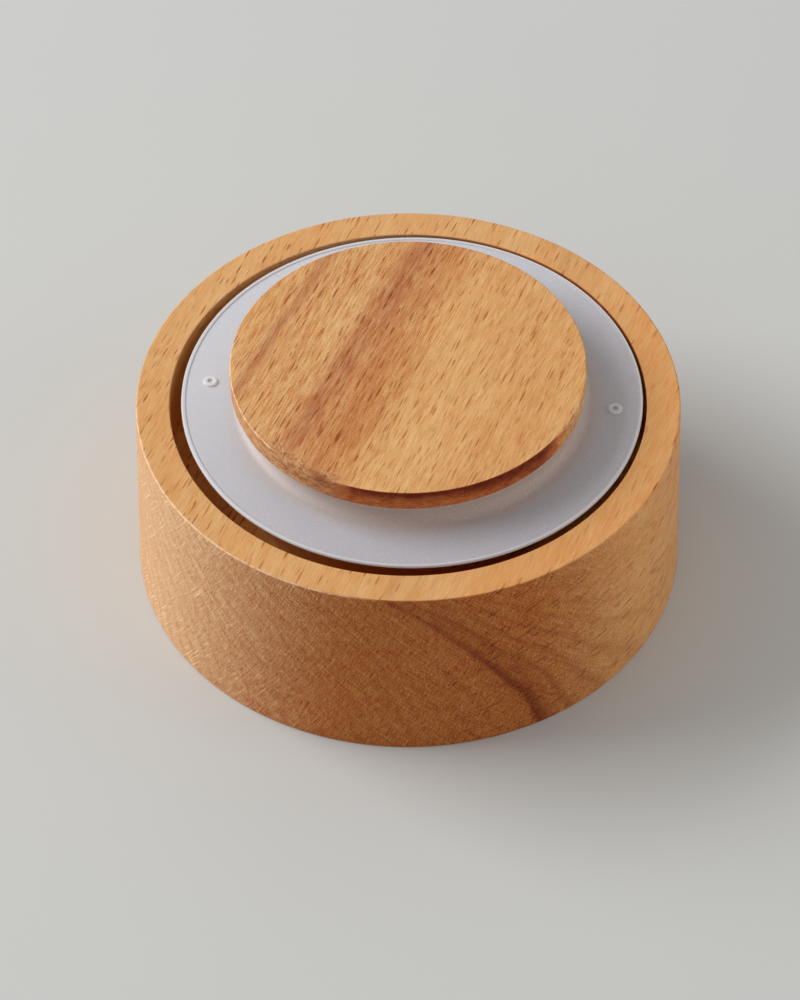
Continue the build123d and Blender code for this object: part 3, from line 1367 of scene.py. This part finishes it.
@dataclass
class ClampDisc:
    """The wooden disc that holds the seal, with a worn place on its front left edge."""

    radius: float
    low: float
    high: float
    socket_radius: float = 4.02 * MM
    socket_depth: float = 2.1 * MM
    top_round: float = 0.25 * MM
    bottom_round: float = 0.3 * MM
    wear_round: float = 0.75 * MM
    wear_turns: Sequence[float] = (radians(-132), radians(-122))
    wear_tilts: Sequence[float] = (radians(22.5), radians(45), radians(67.5))

    def build(self) -> bpy.types.Object:
        """Turns the disc and wears its edge."""
        disc = Turning("clamp_disc_turned", self.radius, self.low, self.high)
        disc.pick_end(self.low)
        disc.step_in(self.radius - self.socket_radius).raise_by(self.socket_depth)
        disc.round_edge(self.radius, self.high, self.top_round, steps=6)
        disc.round_edge(self.radius, self.low, self.bottom_round, steps=4)
        for turn in self.wear_turns:
            for tilt in self.wear_tilts:
                self.rub_flat(turn, tilt)
        return disc.finish()

    def rub_flat(self, turn: float, tilt: float) -> None:
        """Cuts one shallow flat off the top edge.

        Args:
            turn: Direction of the flat, from +X.
            tilt: Its slope upwards from the side wall's.
        """
        outward = Vector((cos(turn), sin(turn), 0.0))
        centre = outward * (self.radius - self.wear_round)
        centre.z = self.high - self.wear_round
        facing = Vector((*(outward * cos(tilt)).xy, sin(tilt)))
        bpy.ops.mesh.select_all(action="SELECT")
        bpy.ops.mesh.bisect(plane_co=centre + facing * self.wear_round, plane_no=facing, clear_outer=True)
        bpy.ops.mesh.select_all(action="SELECT")
        bpy.ops.mesh.fill_holes(sides=0)


@dataclass
class CentrePeg:
    """The dowel between the disc and the boss."""

    radius: float
    low: float
    high: float
    chamfer: float = 0.5 * MM

    def build(self) -> bpy.types.Object:
        """Turns the peg."""
        peg = Turning("centre_peg_turned", self.radius, self.low, self.high, steps=SMALL_RING_STEPS * 2)
        peg.round_edge(self.radius, self.high, self.chamfer, steps=2)
        peg.round_edge(self.radius, self.low, self.chamfer, steps=2)
        return peg.finish()


# Studio


@dataclass(frozen=True)
class Lamp:
    """One soft lamp that faces the lid.

    Args:
        name: Name of the lamp.
        place: Where it hangs.
        size: Its width and height.
        power: Its power in watts.
        tint: Colour of its light.
    """

    name: str
    place: Sequence[float]
    size: Sequence[float]
    power: float
    tint: Colour

    def hang(self) -> None:
        """Adds the lamp at its place."""
        deselect_all()
        bpy.ops.object.light_add(type="AREA", location=self.place)
        lamp = bpy.context.active_object
        lamp.name = lamp.data.name = self.name
        lamp.data.shape = "RECTANGLE"
        lamp.data.size, lamp.data.size_y = self.size
        lamp.data.energy = self.power
        lamp.data.color = self.tint
        lamp.rotation_euler = Vector(self.place).to_track_quat("Z", "Y").to_euler()


@dataclass
class Studio:
    """The floor, the soft lights and the camera.

    Args:
        floor_size: Length of the floor's side.
        floor_colour: Its colour.
        cloud_size: Size of the faint clouds in it.
        lamps: A window-like key from the left and a weak lamp on the right.
        sky_colour: Colour of the even light from all sides.
        sky_strength: Its strength.
        focal_pixels: Focal length in pixels of the picture.
        picture_height: Height of the picture in pixels.
        sensor: Size of the sensor in millimetres.
        unit: Length in which the camera's place is given.
        distance: Distance of the camera from its aim, in that unit.
        elevation: Angle at which it looks down.
        roll: Its turn about its own axis.
        aim: Where it aims at the level of the rim, in that unit.
        near: Nearest place that it shows.
    """

    floor_size: float = 4.0
    floor_colour: Colour = (0.600, 0.610, 0.602)
    cloud_size: float = 30 * MM
    lamps: Sequence[Lamp] = (
        Lamp("key_left", (-1.165, 0.360, 0.93), (1.10, 0.80), 18.8, (1.0, 1.0, 0.995)),
        Lamp("soft_right", (1.35, -0.15, 0.22), (0.60, 0.60), 3.2, (1.0, 0.96, 0.90)),
    )
    sky_colour: Colour = (1.0, 0.985, 0.96)
    sky_strength: float = 0.48
    focal_pixels: float = 3848.6
    picture_height: int = 1000
    sensor: float = 36.0
    unit: float = 40.275 * MM
    distance: float = 13.811
    elevation: float = radians(46.98)
    roll: float = radians(-0.36)
    aim: Sequence[float] = (-0.0326, -0.5148)
    near: float = 10 * MM

    def floor(self) -> None:
        """Lays the plain pale floor."""
        deselect_all()
        bpy.ops.mesh.primitive_plane_add(size=self.floor_size, location=(0.0, 0.0, 0.0))
        plane = bpy.context.active_object
        plane.name = "floor"
        graph = Graph("floor_plaster")
        mist = graph.noise(graph.place(), 1 / self.cloud_size, 3.0)
        paler = tuple(part * 1.02 for part in self.floor_colour)
        colour = graph.mix(mist, self.floor_colour, paler)
        graph.set(Base_Color=colour, Roughness=0.85, Specular_IOR_Level=0.2)
        plane.data.materials.append(graph.material)

    def lights(self) -> None:
        """Hangs the lamps and lights the sky."""
        for lamp in self.lamps:
            lamp.hang()
        world = bpy.data.worlds.new("sky")
        world.use_nodes = True
        back = world.node_tree.nodes["Background"]
        back.inputs["Color"].default_value = (*self.sky_colour, 1.0)
        back.inputs["Strength"].default_value = self.sky_strength
        bpy.context.scene.world = world

    def camera(self) -> None:
        """Places the camera where the photograph was taken from."""
        ahead = Vector((0.0, cos(self.elevation), -sin(self.elevation)))
        right = Vector((1.0, 0.0, 0.0))
        up = right.cross(ahead)
        level_right = right * cos(self.roll) + up * sin(self.roll)
        level_up = up * cos(self.roll) - right * sin(self.roll)
        target = Vector((*self.aim, 0.0))
        place = (target - ahead * self.distance) * self.unit + Vector((0.0, 0.0, RIM_HEIGHT))
        deselect_all()
        bpy.ops.object.camera_add(location=place)
        camera = bpy.context.active_object
        camera.name = "photo_camera"
        axes = Matrix((level_right, level_up, -ahead)).transposed()
        camera.rotation_euler = axes.to_euler()
        camera.data.sensor_width = self.sensor
        camera.data.lens = self.focal_pixels * self.sensor / self.picture_height
        camera.data.clip_start = self.near
        bpy.context.scene.camera = camera

    def build(self) -> None:
        """Builds the whole studio."""
        self.floor()
        self.lights()
        self.camera()
        bpy.context.scene.view_settings.view_transform = "Standard"


# The lid's own finishes


PURPLE_STREAK = (0.37, 0.110, 0.050)
FAINT_RINGS = (0.70, 0.50, 0.42)
DISC_LOG = Log(pith_across=0.0, pith_height=-60.0 * MM, band_radius=90.0 * MM, band_tilt=-0.064)


def cap_beech(cap: CapBody) -> bpy.types.Material:
    """Beech of the cap: even on the rim, with one dark ring down the front of the wall, a painted highlight
    along the rim's outer edge and painted light in the groove.

    Args:
        cap: The cap.

    Returns:
        Its material.
    """
    tones = WoodTones(light=(0.77, 0.45, 0.200), dark=(0.70, 0.345, 0.118), band=(0.56, 0.32, 0.24),
                      end_pale=(0.77, 0.455, 0.240), end_deep=(0.430, 0.122, 0.022))
    log = Log(pith_across=-21.9 * MM, pith_height=-12.4 * MM, band_radius=54.8 * MM)
    streak = Streak(place=22.0 * MM, width=20.0 * MM, strength=0.65, colour=(0.75, 0.325, 0.10))
    marks = (SandingMarks(cap.radius), PaintedEdgeHighlight(cap.radius, radians(-141), radians(48), strength=1.0),
             GroovePaintedLight(cap.groove_radius(), RIM_HEIGHT))
    return Beech("beech_of_cap", log, tones, DarkRing(), (streak,), top_share=0.38, wall_share=0.62,
                 details=marks).dress()


def disc_beech(disc: ClampDisc) -> bpy.types.Material:
    """Beech of the disc: dark streaks on its left, calm wood on its right, and marks and painted highlights
    on its edge.

    Args:
        disc: The disc.

    Returns:
        Its material.
    """
    tones = WoodTones(light=(0.77, 0.435, 0.178), dark=(0.67, 0.325, 0.118), band=FAINT_RINGS,
                      end_pale=(0.62, 0.310, 0.125), end_deep=(0.56, 0.240, 0.085))
    streaks = (
        Streak(-16.0 * MM, 14.0 * MM, 0.35, (0.58, 0.285, 0.130)),
        Streak(-6.0 * MM, 7.4 * MM, 0.70, (0.51, 0.188, 0.068)),
        Streak(-8.4 * MM, 2.8 * MM, 0.45, PURPLE_STREAK),
        Streak(-1.0 * MM, 5.6 * MM, 0.74, (0.53, 0.200, 0.062), gone=9.0 * MM, full=-3.0 * MM),
        Streak(-20.6 * MM, 1.6 * MM, 0.50, PURPLE_STREAK),
        Streak(12.0 * MM, 4.0 * MM, 0.30, (0.60, 0.270, 0.095), gone=-4.0 * MM, full=12.0 * MM),
    )
    # The two pale edge lines are painted highlights.
    marks = (PaintedEdgeHighlight(disc.radius, radians(-165), radians(36), strength=0.9),
             PaintedEdgeHighlight(disc.radius, radians(-28), radians(13), strength=0.8),
             DarkEdgeBand(disc.radius, radians(-74), radians(42), disc.high),
             WornCorner(disc.radius, radians(-127), radians(19), disc.high))
    return Beech("beech_of_disc", DISC_LOG, tones, streaks=streaks, calm_share=0.60, calm_start=-2.0 * MM,
                 calm_end=5.0 * MM, details=marks).dress()


def peg_beech() -> bpy.types.Material:
    """Bare beech of the peg."""
    tones = WoodTones(light=(0.64, 0.41, 0.21), dark=(0.56, 0.32, 0.15), band=FAINT_RINGS,
                      end_pale=(0.54, 0.31, 0.15), end_deep=(0.50, 0.28, 0.13))
    return Beech("beech_of_peg", DISC_LOG, tones, gloss=0.55).dress()


def box_radius(node: str) -> float:
    """Half the width of a frame node."""
    low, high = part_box(node)
    return (high.x - low.x) / 2


def box_centre(node: str) -> tuple[float, float]:
    """Middle of a frame node in plan."""
    low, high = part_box(node)
    return (low.x + high.x) / 2, (low.y + high.y) / 2


def box_heights(node: str) -> tuple[float, float]:
    """Lowest and highest place of a frame node."""
    low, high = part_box(node)
    return low.z, high.z


def main() -> None:
    """Builds the lid's pieces and the studio, and gives each piece to the frame."""
    logging.basicConfig(level=logging.INFO, format="%(name)s: %(message)s")
    cap = CapBody(box_radius("cap_body"))
    seal = Seal(box_centre("seal"), box_radius("seal"), box_heights("seal")[1])
    disc = ClampDisc(box_radius("clamp_disc"), *box_heights("clamp_disc"))
    peg = CentrePeg(box_radius("centre_peg"), *box_heights("centre_peg"))
    # The seal's colour holds the disc's painted shadow and painted warm light from the wood behind it.
    frosted = FrostedPlastic("frosted_plastic", tint=(0.78, 0.81, 0.88), shaded_tint=(0.597, 0.577, 0.622),
                             wood_light_tint=(1.09, 0.88, 0.71), centre=seal.centre,
                             backed_radius=seal.boss_radius, reach=seal.flange_radius)
    # The nubs get a whiter plastic as a painted highlight on them.
    nub_plastic_painted_bright = replace(frosted, name="frosted_plastic_of_nubs_painted_bright", tint=(0.90, 0.90, 0.93),
                    shaded_tint=(0.80, 0.80, 0.83), wood_light_tint=(1.0, 1.0, 1.0)).dress()

    settle(cap.build(), cap_beech(cap), Body.CAP, ["cap_body"])
    settle(seal.build(), frosted.dress(), Body.SEAL, ["seal"])
    for name, side in (("seal_nub_right", 1.0), ("seal_nub_left", -1.0)):
        settle(seal.nub(name, side), nub_plastic_painted_bright, Body.SEAL)
    settle(disc.build(), disc_beech(disc), Body.DISC, ["clamp_disc"])
    settle(peg.build(), peg_beech(), Body.DISC, ["centre_peg"])

    Studio().build()


if __name__ == "__main__":
    main()
